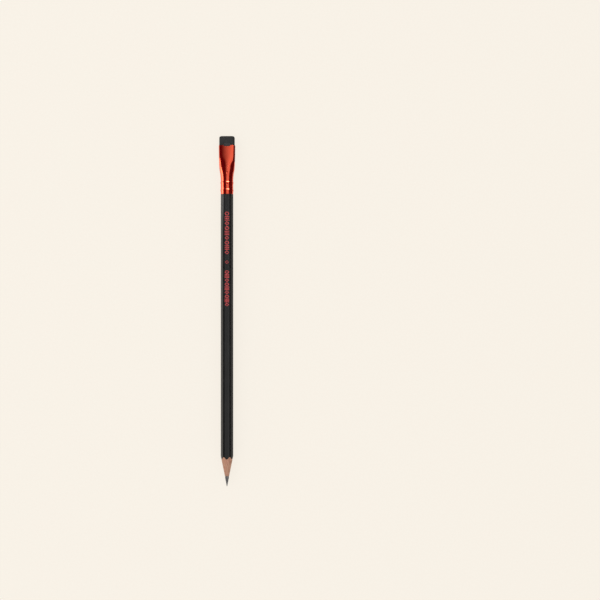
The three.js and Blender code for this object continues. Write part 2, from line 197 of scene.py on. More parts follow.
def add_node(tree, kind, inputs=None, **settings):
    """A shader node. Inputs are numbers, colours or other nodes' sockets."""
    node = tree.nodes.new(kind)
    for key, value in settings.items():
        setattr(node, key, value)
    for key, value in (inputs or {}).items():
        if isinstance(value, bpy.types.NodeSocket):
            tree.links.new(value, node.inputs[key])
        else:
            node.inputs[key].default_value = value
    return node


def new_material(name):
    """A material with an empty node tree, its output, and the piece's own coordinates in millimetres."""
    material = bpy.data.materials.new(name)
    material.use_nodes = True
    tree = material.node_tree
    tree.nodes.clear()
    output = add_node(tree, "ShaderNodeOutputMaterial")
    own = add_node(tree, "ShaderNodeTexCoord").outputs["Object"]
    scaled = add_node(tree, "ShaderNodeVectorMath", {0: own, 1: (1 / MM,) * 3}, operation="MULTIPLY")
    return material, tree, output, scaled.outputs[0]


def stretched(tree, coordinates, scale):
    """Coordinates multiplied by scale, one number per direction."""
    inputs = {0: coordinates, 1: scale}
    return add_node(tree, "ShaderNodeVectorMath", inputs, operation="MULTIPLY").outputs[0]


def noise_value(tree, coordinates, scale, detail=3.0, roughness=0.5):
    """Cloudy noise about 0.5. scale is in cells per unit of the coordinates."""
    inputs = {"Vector": coordinates, "Scale": scale, "Detail": detail, "Roughness": roughness}
    return add_node(tree, "ShaderNodeTexNoise", inputs).outputs["Fac"]


def remap(tree, value, low, high, to_low, to_high, smooth=False):
    """Takes low..high to to_low..to_high, and holds the ends beyond them."""
    inputs = {"Value": value, "From Min": low, "From Max": high, "To Min": to_low, "To Max": to_high}
    kind = "SMOOTHSTEP" if smooth else "LINEAR"
    return add_node(tree, "ShaderNodeMapRange", inputs, interpolation_type=kind).outputs["Result"]


def calculate(tree, operation, first, second=0.0, third=0.0):
    """A sum, product or other operation on numbers and sockets."""
    inputs = {0: first, 1: second, 2: third}
    return add_node(tree, "ShaderNodeMath", inputs, operation=operation).outputs[0]


def blend_colours(tree, share, first, second):
    """The first colour where share is 0, the second where it is 1."""
    node = add_node(tree, "ShaderNodeMix", data_type="RGBA")
    for key, value in ((0, share), (6, first), (7, second)):
        if isinstance(value, bpy.types.NodeSocket):
            tree.links.new(value, node.inputs[key])
        elif key == 0:
            node.inputs[key].default_value = value
        else:
            node.inputs[key].default_value = (*value, 1.0)
    return node.outputs[2]


def mottled(tree, value, low, high, first, second, most=1.0):
    """Blends the first colour towards the second, up to most, as value goes from low to high."""
    return blend_colours(tree, remap(tree, value, low, high, 0, most), first, second)


def bumped(tree, height, microns, normal=None):
    """A bump whose full height is given in micrometres."""
    inputs = {"Height": height, "Distance": microns * MICRON}
    if normal is not None:
        inputs["Normal"] = normal
    return add_node(tree, "ShaderNodeBump", inputs).outputs["Normal"]


def surface(tree, output, inputs):
    """A principled shader as the material's surface."""
    shader = add_node(tree, "ShaderNodeBsdfPrincipled", inputs)
    tree.links.new(shader.outputs[0], output.inputs["Surface"])


# ---------- materials ----------


def lacquer_material():
    """Satin black lacquer over planed wood, with faint ripples, fine rub marks and specks of dust."""
    material, tree, output, own = new_material("black_lacquer")
    waves = noise_value(tree, stretched(tree, own, (1.0, 0.18, 1.0)), 0.9, 2.0)
    peel = noise_value(tree, own, 3.4, 3.0)
    rubs = noise_value(tree, stretched(tree, own, (9.0, 0.35, 9.0)), 1.6, 4.0, 0.6)
    cloud = noise_value(tree, own, 0.12, 3.0)
    colour = mottled(tree, cloud, 0.35, 0.65, (0.0048, 0.005, 0.0054), (0.0072, 0.0073, 0.0076))
    speck = add_node(tree, "ShaderNodeTexVoronoi", {"Vector": own, "Scale": 1.9}).outputs["Distance"]
    dust = remap(tree, speck, 0.03, 0.05, 1, 0)
    colour = blend_colours(tree, calculate(tree, "MULTIPLY", dust, 0.3), colour, (0.05, 0.049, 0.047))
    rubbed = remap(tree, rubs, 0.3, 0.7, -0.05, 0.07)
    rough = calculate(tree, "ADD", rubbed, remap(tree, cloud, 0.3, 0.7, 0.3, 0.36))
    normal = bumped(tree, waves, 3)
    normal = bumped(tree, peel, 1, normal)
    normal = bumped(tree, rubs, 0.6, normal)
    surface(tree, output, {"Base Color": colour, "Roughness": rough, "IOR": 1.46, "Normal": normal})
    return material


def growth_rings(tree, own):
    """How far into a ring's dark late wood a point is. The rings run along the pencil and drift a little."""
    drift = noise_value(tree, stretched(tree, own, (0.5, 0.05, 0.5)), 1.0, 2.0)
    split = add_node(tree, "ShaderNodeSeparateXYZ", {0: own})
    sideways = calculate(tree, "MULTIPLY", split.outputs["X"], 0.85)
    layers = calculate(tree, "MULTIPLY_ADD", split.outputs["Z"], 0.55, sideways)
    layers = calculate(tree, "ADD", layers, calculate(tree, "MULTIPLY", drift, 2.6))
    ring = calculate(tree, "FRACT", calculate(tree, "MULTIPLY", layers, 0.95))
    darkening = remap(tree, ring, 0.55, 0.93, 0, 1, smooth=True)
    return calculate(tree, "MULTIPLY", darkening, remap(tree, ring, 0.93, 1.0, 1, 0))


def graphite_smudge(tree, own, streaks):
    """How grey the wood is next to the core, where the sharpener dragged graphite over it."""
    reach = 1.6
    place = calculate(tree, "SUBTRACT", add_node(tree, "ShaderNodeSeparateXYZ", {0: own}).outputs["Y"], TIP)
    smudge = remap(tree, place, WOOD_START, WOOD_START + reach, 1, 0, smooth=True)
    smudge = calculate(tree, "MULTIPLY", smudge, 0.35)
    return calculate(tree, "MULTIPLY", smudge, remap(tree, streaks, 0.3, 0.65, 0.5, 1.2))


def cedar_material():
    """Incense cedar cut to a cone: growth rings, silky fibres, ray flecks, smudges and knife marks."""
    material, tree, output, own = new_material("cedar")
    late = growth_rings(tree, own)
    fibres = noise_value(tree, stretched(tree, own, (1.0, 0.06, 1.0)), 9.0, 4.0, 0.65)
    streaks = noise_value(tree, stretched(tree, own, (1.0, 0.1, 1.0)), 2.6, 3.0, 0.55)
    patches = noise_value(tree, stretched(tree, own, (1.0, 0.5, 1.0)), 0.8, 2.0)
    fleck = noise_value(tree, stretched(tree, own, (2.2, 0.45, 2.2)), 2.4, 1.0)
    colour = mottled(tree, streaks, 0.3, 0.7, (0.40, 0.205, 0.125), (0.50, 0.29, 0.195))
    colour = mottled(tree, patches, 0.4, 0.65, colour, (0.44, 0.195, 0.135), 0.55)
    colour = blend_colours(tree, calculate(tree, "MULTIPLY", late, 0.6), colour, (0.25, 0.108, 0.062))
    colour = mottled(tree, fibres, 0.45, 0.75, colour, (0.29, 0.138, 0.083), 0.4)
    colour = mottled(tree, fleck, 0.66, 0.74, colour, (0.57, 0.375, 0.265), 0.35)
    colour = blend_colours(tree, graphite_smudge(tree, own, streaks), colour, (0.2, 0.13, 0.1))
    knife = add_node(tree, "ShaderNodeTexWave", {
        "Vector": own, "Scale": 1.1, "Distortion": 1.5, "Detail": 2.0, "Detail Scale": 2.0,
    }, wave_type="BANDS", bands_direction="Y").outputs["Fac"]
    normal = bumped(tree, fibres, 22)
    normal = bumped(tree, late, 8, normal)
    normal = bumped(tree, knife, 3, normal)
    surface(tree, output, {
        "Base Color": colour, "Roughness": remap(tree, fibres, 0.3, 0.7, 0.55, 0.75),
        "Specular IOR Level": 0.35, "Normal": normal,
        "Sheen Weight": 0.08, "Sheen Roughness": 0.4,
    })
    return material


def graphite_material():
    """Polished by the sharpener: grey, half metallic, with fine turned scratches and darker pits."""
    material, tree, output, own = new_material("graphite")
    turned = noise_value(tree, stretched(tree, own, (0.6, 9.0, 0.6)), 2.2, 5.0, 0.65)
    grain = noise_value(tree, own, 14.0, 3.0, 0.6)
    patch = noise_value(tree, own, 1.3, 2.0)
    colour = mottled(tree, turned, 0.35, 0.7, (0.17, 0.17, 0.175), (0.33, 0.33, 0.335))
    colour = mottled(tree, grain, 0.58, 0.72, colour, (0.05, 0.05, 0.052), 0.6)
    polished = remap(tree, turned, 0.3, 0.7, 0.42, 0.3)
    rough = calculate(tree, "ADD", polished, remap(tree, patch, 0.3, 0.7, -0.04, 0.08))
    normal = bumped(tree, turned, 9)
    normal = bumped(tree, grain, 4, normal)
    surface(tree, output, {"Base Color": colour, "Metallic": 0.7, "Roughness": rough, "Normal": normal})
    return material


def foil_material():
    """Hot-stamped red metallic pigment: finely mottled, and worn through in places."""
    material, tree, output, own = new_material("red_foil")
    grain = noise_value(tree, own, 11.0, 4.0, 0.6)
    wear = noise_value(tree, own, 2.3, 3.0, 0.6)
    colour = mottled(tree, grain, 0.3, 0.7, (0.4, 0.03, 0.035), (0.62, 0.085, 0.09))
    colour = mottled(tree, wear, 0.62, 0.72, colour, (0.05, 0.012, 0.012), 0.7)
    surface(tree, output, {
        "Base Color": colour, "Metallic": 0.35, "Roughness": remap(tree, grain, 0.3, 0.7, 0.3, 0.5),
        "Normal": bumped(tree, grain, 3),
    })
    return material


def anodised_material():
    """Dyed anodised aluminium: mirror-like under a red film, with drawing lines, and painted shade that
    darkens the staking dents.
    """
    material, tree, output, own = new_material("anodised_red")
    drawn = noise_value(tree, stretched(tree, own, (7.0, 0.12, 7.0)), 1.5, 4.0, 0.6)
    cloud = noise_value(tree, own, 0.35, 3.0)
    scratch = noise_value(tree, stretched(tree, own, (0.8, 5.0, 0.8)), 1.2, 5.0, 0.7)
    marks = remap(tree, scratch, 0.68, 0.74, 0, 1)
    tint = mottled(tree, cloud, 0.35, 0.65, (0.84, 0.124, 0.062), (0.88, 0.142, 0.074))
    tint = blend_colours(tree, calculate(tree, "MULTIPLY", marks, 0.25), tint, (0.95, 0.3, 0.2))
    plan = stretched(tree, own, (1.0, 1.0, 0.0))
    # Painted shade: round each staking dent the metal's colour is blended towards a near-black red, so the
    # dents look dark.
    for depth in STAKES:
        inputs = {0: plan, 1: (STAKE_ACROSS, TIP + MOUTH - depth, 0.0)}
        away = add_node(tree, "ShaderNodeVectorMath", inputs, operation="DISTANCE").outputs["Value"]
        painted_dent_shade = remap(tree, away, 0.3, STAKE_RADIUS, 0.85, 0, smooth=True)
        tint = blend_colours(tree, painted_dent_shade, tint, (0.12, 0.004, 0.005))
    smooth = remap(tree, drawn, 0.3, 0.7, 0.09, 0.14)
    rough = calculate(tree, "ADD", smooth, calculate(tree, "MULTIPLY", marks, 0.08))
    normal = bumped(tree, drawn, 0.8)
    normal = bumped(tree, cloud, 6, normal)
    metal = add_node(tree, "ShaderNodeBsdfPrincipled", {
        "Base Color": tint, "Metallic": 1.0, "Roughness": rough, "Normal": normal,
    })
    dye = add_node(tree, "ShaderNodeBsdfDiffuse", {"Color": (0.66, 0.0, 0.006, 1.0), "Normal": normal})
    film = add_node(tree, "ShaderNodeMixShader", {0: 0.14, 1: metal.outputs[0], 2: dye.outputs[0]})
    tree.links.new(film.outputs[0], output.inputs["Surface"])
    return material


def coating_material():
    """Thin dark coating on sheet steel, slightly grained, rubbed lighter in places."""
    material, tree, output, own = new_material("dark_coating")
    grain = noise_value(tree, own, 9.0, 3.0, 0.6)
    rub = noise_value(tree, own, 1.8, 3.0, 0.6)
    surface(tree, output, {
        "Base Color": mottled(tree, rub, 0.4, 0.7, (0.022, 0.022, 0.0235), (0.042, 0.042, 0.044)),
        "Metallic": 0.4, "Roughness": remap(tree, grain, 0.3, 0.7, 0.38, 0.52),
        "Normal": bumped(tree, grain, 5),
    })
    return material


def rubber_material():
    """Moulded black rubber: matt and finely pitted, with a pale bloom and specks of chalk."""
    material, tree, output, own = new_material("black_rubber")
    pits = noise_value(tree, own, 16.0, 3.0, 0.65)
    skin = noise_value(tree, own, 4.0, 4.0, 0.6)
    bloom = noise_value(tree, own, 0.9, 4.0, 0.6)
    colour = mottled(tree, bloom, 0.35, 0.7, (0.019, 0.0192, 0.0195), (0.028, 0.028, 0.0285))
    colour = mottled(tree, pits, 0.68, 0.78, colour, (0.045, 0.0445, 0.043), 0.35)
    normal = bumped(tree, skin, 14)
    normal = bumped(tree, pits, 7, normal)
    surface(tree, output, {
        "Base Color": colour, "Roughness": remap(tree, skin, 0.3, 0.7, 0.68, 0.85),
        "Specular IOR Level": 0.2, "Normal": normal,
    })
    return material


def glue_material():
    """Dried wood adhesive: a thin amber line, a little glossy."""
    material, tree, output, own = new_material("glue")
    cloud = noise_value(tree, own, 5.0, 3.0)
    surface(tree, output, {
        "Base Color": mottled(tree, cloud, 0.3, 0.7, (0.3, 0.17, 0.09), (0.42, 0.26, 0.15)),
        "Roughness": 0.45, "Normal": bumped(tree, cloud, 4),
    })
    return material


# ---------- barrel ----------

AROUND = 360
SHOULDER = FERRULE_END - 0.005  # beyond this place the barrel is cut down to its tenon


def full_turn(count):
    """Evenly spaced angles round a whole turn."""
    return np.arange(count) / count * 2 * math.pi


def barrel_rows(front, count=70):
    """Places from the front of the skin to the end of the tenon, with close ones at the tenon's shoulder.

    The shaft's places lie closer together towards the front.
    """
    shaft = np.linspace(0, 1, count) ** 1.5
    rows = [front + (FERRULE_END - 0.3 - front) * share for share in shaft]
    late = (FERRULE_END - 0.04, FERRULE_END - 0.01, FERRULE_END, FERRULE_END + 5, WOOD_END)
    rows += [np.full_like(front, place) for place in late]
    return rows


def ripple_round(angles, radius, place, scale):
    """The same smooth noise, sampled on a circle round the pencil."""
    return np.array([ripple(math.cos(a) * radius, place, math.sin(a) * radius, scale) for a in angles])


def lacquer_skin(material):
    """The lacquer coat: a closed shell whose front edge follows the sharpener's cone, slightly ragged."""
    angles = full_turn(AROUND)
    outer = hexagon_radius(angles, FLAT_RADIUS)
    inner = hexagon_radius(angles, WOOD_FLAT_RADIUS + SEAT_GAP)
    around = 3.4
    chip_threshold = 0.25  # the skin chips only where the noise is above this
    outer_rag, inner_rag = 0.05, 0.03
    outer_chip, inner_chip = 0.35, 0.2
    tenon_coat = 0.02
    edge = 0.02
    rag = ripple_round(angles, around, 1.0, 0.16)
    chip = np.maximum(ripple_round(angles, around, 7.0, 0.5) - chip_threshold, 0)
    outer_front = cone_place(outer) + outer_rag * rag + outer_chip * chip
    inner_front = cone_place(inner) + inner_rag * rag + inner_chip * chip
    rows = []
    for place in reversed(barrel_rows(inner_front, 3)):
        radius = np.where(place > SHOULDER, np.minimum(inner, TENON_RADIUS - tenon_coat), inner)
        rows.append((radius, place))
    rows.append((inner * 0.35 + outer * 0.65, inner_front * 0.35 + outer_front * 0.65))
    rows.append((outer - edge * 0.6, outer_front - edge * 2.4))
    for place in barrel_rows(outer_front + edge):
        radius = np.where(place > SHOULDER, np.minimum(outer, TENON_RADIUS), outer)
        rows.append((radius, place))
    points = [np.stack([r * np.cos(angles), p, r * np.sin(angles)], 1) for r, p in rows]
    faces = band_faces(len(rows), AROUND, wrap_rows=True)
    finish_mesh(
        "lacquered_barrel", np.array(points), faces, "barrel", ["lacquer_coat"], material,
    )


def cone_rows(angles, outer, side, frayed):
    """The slat's cut cone from the core to the lacquer, with lifted fibres and fine turned ridges."""
    fibre_height = 0.011
    ridge_height = 0.004
    sunk = 0.004
    steps = 110
    rows = []
    for step in range(steps + 1):
        share = step / steps
        radius = WOOD_START_RADIUS + share * (outer - WOOD_START_RADIUS)
        place = cone_place(radius) + frayed * max(0, 1 - share * 12)
        fibre = np.array([
            ripple(r * math.cos(a), p, side * r * math.sin(a), 0.22, 14.0)
            for a, r, p in zip(angles, radius, place)
        ])
        ridge = np.array([math.sin(a * 2.0 + p * 5.2) for a, p in zip(angles, place)])
        shift = fibre_height * fibre + ridge_height * ridge
        fade = min(1, share * 10, (1 - share) * 30)
        rows.append((radius + shift * fade - sunk, place))
    return rows


def cedar_slat(name, side, node, material):
    """One slat: half of the cone, of the hexagon under the lacquer and of the bore, and the glue face."""
    half = AROUND // 2
    angles = np.arange(half + 1) / half * math.pi
    outer = hexagon_radius(angles, WOOD_FLAT_RADIUS)
    bore = np.full(half + 1, BORE_RADIUS)
    fray_length = 0.05
    inside_bore = 0.25  # where the bore's first row lies behind the cut
    under_lacquer = 0.4  # where the first row after the cone lies
    sunk = 0.002
    frayed = fray_length * ripple_round(angles, 1.0, 3.0 * side, 0.12)
    rows = [(bore, np.full_like(bore, WOOD_START + inside_bore)), (bore, WOOD_START + frayed)]
    rows += cone_rows(angles, outer, side, frayed)
    rows.append((outer - sunk, cone_place(outer) + under_lacquer))
    rows.append((outer, np.full_like(outer, FERRULE_END - 0.01)))
    tenon = np.minimum(outer, TENON_RADIUS)
    rows += [(tenon, np.full_like(outer, place)) for place in (FERRULE_END, WOOD_END)]
    rows.append((bore, np.full_like(outer, WOOD_END)))
    glue_face = GLUE / 2 + SEAT_GAP
    points = []
    for radius, place in rows:
        rise = np.maximum(radius * np.sin(angles), glue_face)
        points.append(np.stack([radius * np.cos(angles), place, side * rise], 1))
    count = len(rows)
    faces = band_faces(count, half + 1, wrap_rows=True, wrap_columns=False)
    faces.append([row * (half + 1) for row in range(count)])
    faces.append([row * (half + 1) + half for row in range(count)][::-1])
    finish_mesh(name, np.array(points), faces, "barrel", [node], material)


def point_rows():
    """Radius and place of the core's rings: round point, cone, bare rod at the wood, and the far end."""
    round_steps = 8
    round_turn = 1.37  # radians from the tip to where the cone goes on
    cone_steps = 60
    rod_steps = 11
    rod_step = 0.15
    rows = []
    for step in range(1, round_steps + 1):
        angle = step / round_steps * round_turn
        rows.append((POINT_RADIUS * math.sin(angle), POINT_RADIUS * (1 - math.cos(angle))))
    radius, place = rows[-1]
    for step in range(1, cone_steps + 1):
        share = step / cone_steps
        rows.append((radius + share * (CORE_RADIUS - radius), place + share * (LEAD_CONE_START - place)))
    rows += [(CORE_RADIUS, LEAD_CONE_START + step * rod_step) for step in range(1, rod_steps + 1)]
    rows.append((CORE_RADIUS, WOOD_END))
    return rows


def graphite_point(material):
    """The core: turned and faintly faceted where the blade sharpened it, and a plain rod in the wood."""
    around = 160
    worn_from = 0.5
    turning_height = 0.004
    facet_height = 0.012
    angles = full_turn(around)
    rows = point_rows()
    points = []
    for radius, place in rows:
        worn = min(1, place / worn_from) * (1 if place < WOOD_START else 0)
        for angle in angles:
            across = radius * math.cos(angle)
            rise = radius * math.sin(angle)
            turned = ripple(across * 0.4, place + angle * 0.05, rise * 0.4, 0.1)
            facet = ripple(math.cos(angle), place * 0.3, math.sin(angle), 0.7)
            moved = radius + worn * (turning_height * turned + facet_height * facet - facet_height)
            points.append((moved * math.cos(angle), place, moved * math.sin(angle)))
    faces = band_faces(len(rows), around)
    tip = len(points)
    points.append((0, 0, 0))
    faces += [(tip, (k + 1) % around, k) for k in range(around)]
    faces.append([(len(rows) - 1) * around + k for k in range(around)])
    finish_mesh("graphite_lead", points, faces, "barrel", ["graphite_core"], material)


# ---------- ferrule ----------


def eased(stations, softness):
    """A smooth curve near given stations: straight stretches, rounded over about softness mm."""
    step = 0.02
    fine = np.arange(-4, 34, step)
    straight = np.interp(fine, *np.array(stations, float).T)
    reach = np.arange(-3 * softness, 3 * softness, step)
    weights = np.exp(-0.5 * (reach / softness) ** 2)
    smooth = np.convolve(straight, weights / weights.sum(), mode="same")
    return lambda depth: np.interp(depth, fine, smooth)


half_width = eased(HALF_WIDTHS, 0.45)
half_height = eased(HALF_HEIGHTS, 0.9)
corner_radius = eased(CORNER_RADII, 0.9)
face_turn = eased(FACE_TURNS, 0.9)


def bead_rise(depth):
    """How far the rolled beads stand out of the tube at this depth."""
    rise = np.zeros_like(depth)
    for middle, half_length in BEADS:
        away = np.minimum(np.abs(depth - middle) / half_length, 1)
        rise += BEAD_HEIGHT * 0.5 * (1 + np.cos(math.pi * away))
    return rise


def quarter_arcs(depth):
    """A quarter of the section as its side, corner and face arcs: radius, turn, centre across and up."""
    corner = corner_radius(depth)
    across = half_width(depth) - corner
    rise = half_height(depth) - corner
    turn = np.radians(face_turn(depth))
    side_pull = math.tan(SIDE_TURN / 2)
    face_pull = np.tan(turn / 2)
    corner_x = (across - side_pull * rise) / (1 - side_pull * face_pull)
    corner_y = rise - face_pull * corner_x
    side = corner + corner_y / math.sin(SIDE_TURN)
    face = corner + corner_x / np.sin(turn)
    zero = np.zeros_like(corner)
    return (
        (side, SIDE_TURN + zero, across + corner - side, zero),
        (corner, math.pi / 2 - SIDE_TURN - turn, corner_x, corner_y),
        (face, turn, zero, rise + corner - face),
    )


def pressed(angles, depth, offset):
    """Where the press leaves the round tube's point at this angle, offset from its outer skin."""
    arcs = quarter_arcs(depth)
    quarter = sum(radius * turn for radius, turn, _, _ in arcs)
    length = np.arcsin(np.abs(np.sin(angles))) / (math.pi / 2) * quarter
    before = direction = across = rise = 0.0
    for radius, turn, centre_x, centre_y in arcs:
        here = length >= before
        lean = direction + (length - before) / radius
        across = np.where(here, centre_x + (radius + offset) * np.cos(lean), across)
        rise = np.where(here, centre_y + (radius + offset) * np.sin(lean), rise)
        before = before + radius * turn
        direction = direction + turn
    return np.sign(np.cos(angles)) * across, np.sign(np.sin(angles)) * rise


def scallop(across):
    """How far the mouth's rim dips at this distance from the middle of a wide face."""
    share = np.minimum(np.abs(across) / (SCALLOP_WIDTH / 2), 1)
    return SCALLOP_DEPTH * (1 - share**SCALLOP_FLATNESS)


def dents(across, rise, depth):
    """Depth of the staking dents on both wide faces: cones with a rounded bottom."""
    bottom = 0.1
    on_a_face = np.abs(rise) > 1
    total = np.zeros_like(depth)
    for middle in STAKES:
        away = np.sqrt((across - STAKE_ACROSS) ** 2 + (depth - middle) ** 2 + bottom**2) / STAKE_RADIUS
        total += STAKE_DEPTH * np.maximum(1 - away, 0) * on_a_face
    return total


def wall_path(length):
    """The wall's cross-section along the tube as (depth, offset) pairs: outer skin, rim, inner skin, tail."""
    rim_round = 0.05
    tail_round = 0.04
    turn_steps = 5
    inner_rows = 26
    stops = [length - tail_round, 23.5, 22.1, 17.4, 16.1, 14.7, rim_round]
    counts = [60, 30, 58, 20, 30, 68]  # rows from stop to stop, closest together at the two dents
    path = [(stops[0], 0.0)]
    for far, near, count in zip(stops, stops[1:], counts):
        path += [(depth, 0.0) for depth in np.linspace(far, near, count + 1)[1:]]
    turns = [step / turn_steps * math.pi / 2 for step in range(1, turn_steps + 1)]
    path += [(rim_round * (1 - math.sin(t)), -rim_round * (1 - math.cos(t))) for t in turns]
    path += [(rim_round * (1 - math.sin(t)), -WALL + rim_round * (1 - math.cos(t))) for t in reversed(turns)]
    path += [(depth, -WALL) for depth in np.linspace(rim_round, length, inner_rows + 1)]
    path.append((length, -tail_round))
    return path


def ferrule_tube(material):
    """The pressed tube as one closed sheet, with beads, staking dents and a scallop in each wide rim."""
    around = 320
    scalloped = 3.0  # how deep the rows follow the rim's dip
    angles = full_turn(around) + math.pi / around
    rim_across, _ = pressed(angles, np.zeros(around), 0.0)
    dip = scallop(rim_across)
    rows = []
    for depth, offset in wall_path(MOUTH - FERRULE_END):
        deep = depth + dip * max(0.0, 1 - depth / scalloped)
        skin = bead_rise(deep) + offset
        across, rise = pressed(angles, deep, skin)
        across, rise = pressed(angles, deep, skin - dents(across, rise, deep))
        rows.append(np.stack([across, MOUTH - deep, rise], 1))
    faces = band_faces(len(rows), around, wrap_rows=True)
    finish_mesh("pressed_ferrule", np.array(rows), faces, "barrel", ["ferrule"], material)


# ---------- eraser and clip ----------


def slab_ring(half_width, half_height, rounding, place):
    """One section of the eraser: a rectangle with round corners."""
    corner_steps = 10
    face_steps = 26
    ring = []
    for quarter in range(4):
        side = 1 if quarter in (0, 3) else -1
        level = 1 if quarter in (0, 1) else -1
        centre_across = side * (half_width - rounding)
        centre_rise = level * (half_height - rounding)
        for step in range(corner_steps + 1):
            angle = (quarter + step / corner_steps) * math.pi / 2
            across = centre_across + rounding * math.cos(angle)
            ring.append((across, place, centre_rise + rounding * math.sin(angle)))
        if quarter in (0, 2):
            start = ring[-1][0]
            for step in range(1, face_steps):
                ring.append((start - 2 * start * step / face_steps, place, level * half_height))
    return ring


def eraser_half_width(place):
    """Widest at the mouth, narrower towards both ends."""
    if place > MOUTH:
        share = (place - MOUTH) / (ERASER_END - MOUTH)
        return ERASER_MOUTH_HALF_WIDTH + (ERASER_END_HALF_WIDTH - ERASER_MOUTH_HALF_WIDTH) * share
    share = (MOUTH - place) / (MOUTH - ERASER_FOOT)
    return ERASER_MOUTH_HALF_WIDTH + (ERASER_FOOT_HALF_WIDTH - ERASER_MOUTH_HALF_WIDTH) * share


def round_cut(radius, into):
    """How much a round edge takes off when its place is this share of the radius into it."""
    return radius * (1 - math.sqrt(max(0.0, 1 - into**2)))


def eraser_block(material):
    """The rubber block: round sides, ends and outer corners, and a slightly uneven moulded skin."""
    plan_round = 1.0
    end_round = 0.32
    clearance = 0.015
    dimple_height = 0.012
    pit_height = 0.004
    places = [ERASER_FOOT + end_round * (1 - math.cos(t)) for t in np.linspace(0, math.pi / 2, 6)]
    places += list(np.linspace(ERASER_FOOT + end_round, ERASER_END - plan_round, 60)[1:])
    places += [ERASER_END - plan_round * (1 - math.sin(t)) for t in np.linspace(0, math.pi / 2, 22)[1:]]
    points = []
    for place in places:
        into_corner = max(0.0, (place - (ERASER_END - plan_round)) / plan_round)
        into_outer_end = (place - (ERASER_END - end_round)) / end_round
        into_foot = (ERASER_FOOT + end_round - place) / end_round
        end_cut = round_cut(end_round, max(0.0, into_outer_end, into_foot))
        corner_cut = round_cut(plan_round, into_corner)
        width = eraser_half_width(place) - clearance - max(end_cut, corner_cut)
        height = ERASER_HALF_THICKNESS - clearance - end_cut
        rounding = min(ERASER_SIDE_ROUNDING - end_cut, height - 0.05)
        for across, _, rise in slab_ring(width, height, rounding, place):
            dimple = dimple_height * ripple(across, place, rise, 1.5)
            dimple = dimple + pit_height * ripple(across, place, rise, 0.35)
            points.append((across * (1 + dimple / 8), place, rise * (1 + dimple / 2)))
    around = len(points) // len(places)
    faces = band_faces(len(places), around)
    faces.append(list(range(around))[::-1])
    last = (len(places) - 1) * around
    faces.append([last + k for k in range(around)])
    finish_mesh("rubber_eraser", points, faces, "eraser", ["eraser"], material)


def clip_half_width(place):
    """Half the strip's width: full in the ferrule, easing to the tab, then round at its top."""
    shoulder = CLIP_SHOULDER_DEPTH - TAB_DEPTH
    into_tab = min(1.0, max(0.0, (place - (MOUTH - CLIP_SHOULDER_DEPTH)) / shoulder))
    ease = into_tab * into_tab * (3 - 2 * into_tab)
    half = CLIP_HALF_WIDTH + (TAB_HALF_WIDTH - CLIP_HALF_WIDTH) * ease
    into_top = min(1.0, max(0.0, (place - (CLIP_TOP - TAB_ROUNDING)) / TAB_ROUNDING))
    return half - round_cut(TAB_ROUNDING, into_top)


def clip_strip(material):
    """The folded strip: its middle line runs up one leg, round the foot and up the other, with round tabs."""
    middle = CLIP_HALF_HEIGHT - CLIP_SHEET / 2
    bend = CLIP_BEND - CLIP_SHEET / 2
    foot = CLIP_FOOT + CLIP_SHEET / 2
    leg = [(place, middle) for place in np.concatenate([
        CLIP_TOP - TAB_ROUNDING * (1 - np.cos(np.linspace(0, math.pi / 2, 10))),
        np.linspace(CLIP_TOP - TAB_ROUNDING, MOUTH - TAB_DEPTH, 6)[1:],
        np.linspace(MOUTH - TAB_DEPTH, MOUTH - CLIP_SHOULDER_DEPTH, 8)[1:],
        np.linspace(MOUTH - CLIP_SHOULDER_DEPTH, foot + bend, 16)[1:],
    ])]
    turns = np.linspace(0, math.pi / 2, 7)[1:]
    fold = [(foot + bend * (1 - math.sin(t)), middle - bend * (1 - math.cos(t))) for t in turns]
    line = leg + fold
    line += [(place, -rise) for place, rise in reversed(line)]
    columns = 17
    points = []
    for place, rise in line:
        half = clip_half_width(place)
        points += [(half * (2 * k / (columns - 1) - 1), place, rise) for k in range(columns)]
    faces = band_faces(len(line), columns, wrap_columns=False)
    piece = finish_mesh("sheet_clip", points, faces, "clip", ["eraser_clip"], material)
    thick = piece.modifiers.new("sheet", "SOLIDIFY")
    thick.thickness = CLIP_SHEET * MM
    thick.offset = 0
    rounded = piece.modifiers.new("edges", "BEVEL")
    rounded.width = 0.05 * MM
    rounded.segments = 2
    rounded.limit_method = "ANGLE"


# ---------- studio, in metres ----------

PAPER = (0.937, 0.881, 0.795)
PAPER_GLOW = 0.9  # the share of the paper's light that doesn't come from the room, as on a light table
DAYLIGHT = (0.97, 0.965, 0.955)
PANEL_COLOUR = (1.0, 0.985, 0.96, 1.0)
PANEL_HEIGHT = 1.0
SPAN = 0.9  # how far the long panels reach past the pencil's middle
OFF_FLOOR = 0.0004


def stage_object(name, mesh, material):
    """An object that belongs to the studio and not to the pencil."""
    piece = bpy.data.objects.new(name, mesh)
    bpy.context.scene.collection.objects.link(piece)
    mesh.materials.append(material)
    return piece


def pale_floor():
    """A wide round sheet of matt off-white paper, lit from below as well, so that its shadows stay faint."""
    mesh = bpy.data.meshes.new("floor")
    work = bmesh.new()
    bmesh.ops.create_circle(work, cap_ends=True, segments=96, radius=6)
    work.to_mesh(mesh)
    work.free()
    material, tree, output, own = new_material("floor_paper")
    fibre = noise_value(tree, own, 0.9, 4.0, 0.6)
    colour = mottled(tree, fibre, 0.35, 0.65, PAPER, [channel * 0.985 for channel in PAPER])
    paper = add_node(tree, "ShaderNodeBsdfDiffuse", {"Color": colour, "Normal": bumped(tree, fibre, 10)})
    glow = add_node(tree, "ShaderNodeEmission", {"Color": colour, "Strength": 1.0})
    both = add_node(tree, "ShaderNodeMixShader", {0: PAPER_GLOW, 1: paper.outputs[0], 2: glow.outputs[0]})
    tree.links.new(both.outputs[0], output.inputs["Surface"])
    stage_object("floor", mesh, material)


